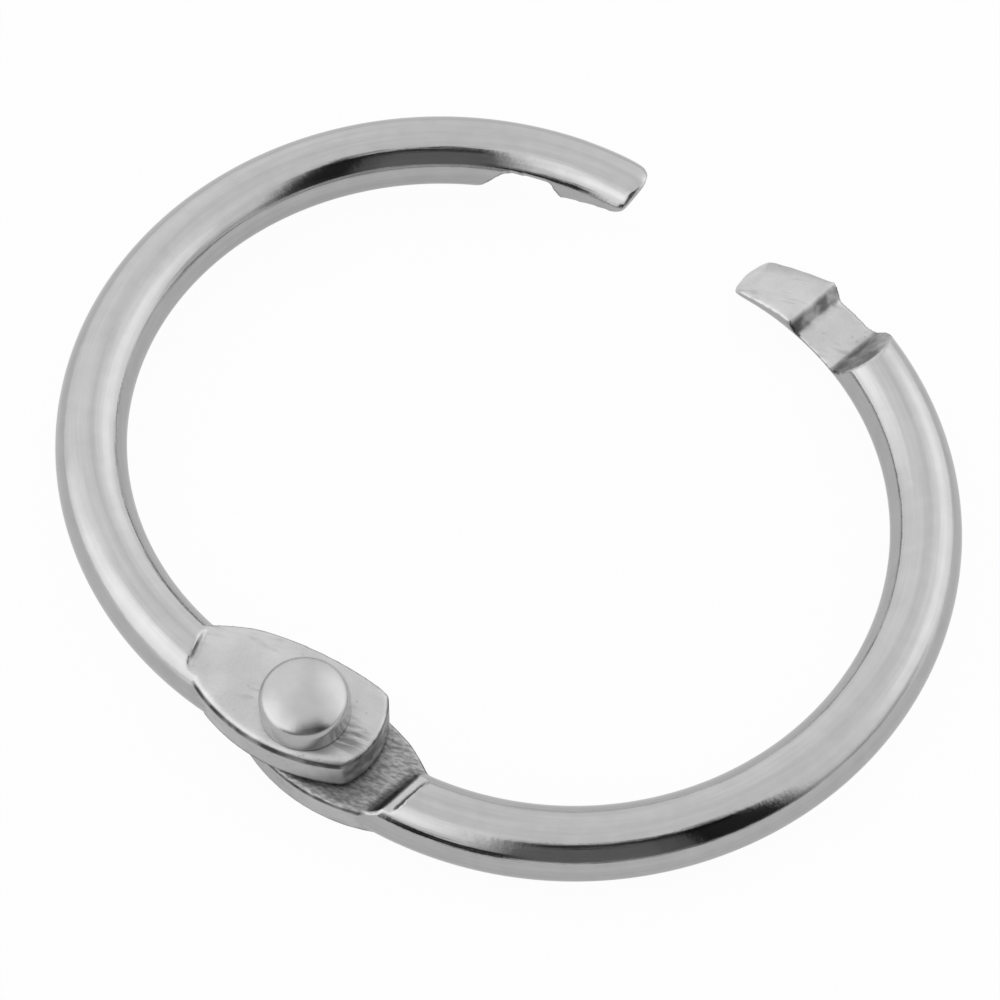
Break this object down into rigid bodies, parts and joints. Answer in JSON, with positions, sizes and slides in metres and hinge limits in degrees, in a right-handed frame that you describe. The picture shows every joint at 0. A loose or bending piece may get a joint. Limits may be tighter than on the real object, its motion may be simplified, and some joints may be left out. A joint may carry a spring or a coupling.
{
  "type": "binder ring",
  "caption": "Hinged loose-leaf binder ring: two nickel-plated wire halves riveted at pressed ears, with hooked free ends that clasp.",
  "frame": {"origin": "centre of the left half's ring, which is the closed ring's centre, on the plane where the two ears meet", "axes": "+Z out of the ring's face towards the rivet's domed head; the rivet is on the -Y side, the clasp on the +Y side, and the right half opens towards +X"},
  "size_m": [0.0365, 0.0319, 0.0056],
  "materials": {
    "plated_wire": "satin-bright nickel plate on steel wire",
    "plated_rivet": "satin nickel plate on a steel rivet"
  },
  "bodies": {
    "left": {"left_half": "plated_wire", "rivet": "plated_rivet"},
    "right": {"right_half": "plated_wire"}
  },
  "joints": [
    {"name": "swing", "type": "hinge", "parent": "left", "child": "right", "pos_m": [0, -0.0139, 0], "axis": [0, 0, -1], "range_deg": [-25, 130]}
  ]
}
